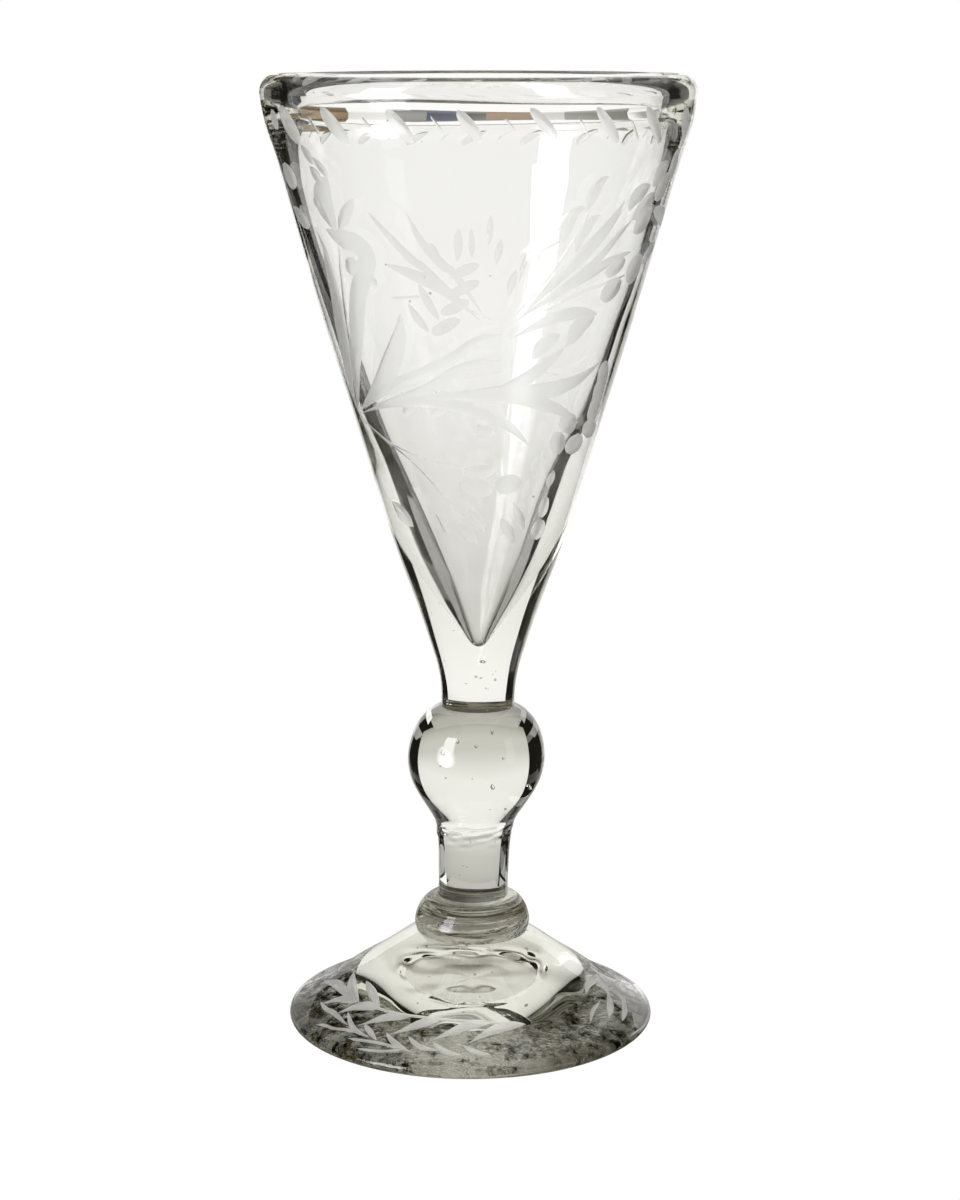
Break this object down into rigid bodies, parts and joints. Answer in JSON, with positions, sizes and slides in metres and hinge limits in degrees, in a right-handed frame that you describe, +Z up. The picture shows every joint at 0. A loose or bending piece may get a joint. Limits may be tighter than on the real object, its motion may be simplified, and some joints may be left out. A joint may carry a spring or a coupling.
{
  "type": "stemmed drinking glass",
  "caption": "Tall conical hand-blown drinking glass on a solid shank, ball knop, short stem, merese and conical foot, with wheel-cut leaf sprays; stands on its foot ring.",
  "frame": {"origin": "centre of the resting ring under the foot, on the table", "axes": "+Z up along the glass's axis of revolution, from the foot to the rim; +Y points away from the viewer who faces the side with the large leaf spray, +X to their right"},
  "size_m": [0.1106, 0.1106, 0.25],
  "materials": {
    "bowl_glass": "clear fire-polished glass, faint olive-grey tint, fine seeds, wheel-cut frosted leaf sprays",
    "knop_glass": "clear fire-polished glass, faint olive-grey tint, fine seeds",
    "stem_glass": "clear fire-polished glass, faint olive-grey tint",
    "merese_glass": "clear fire-polished glass with faint horizontal tooling lines",
    "foot_glass": "clear glass, faint olive-grey tint, seeds, wheel-cut frosted laurel bands, ground pontil mark"
  },
  "bodies": {
    "root": {"bowl": "bowl_glass", "knop": "knop_glass", "stem": "stem_glass", "merese": "merese_glass", "foot": "foot_glass"}
  },
  "joints": []
}
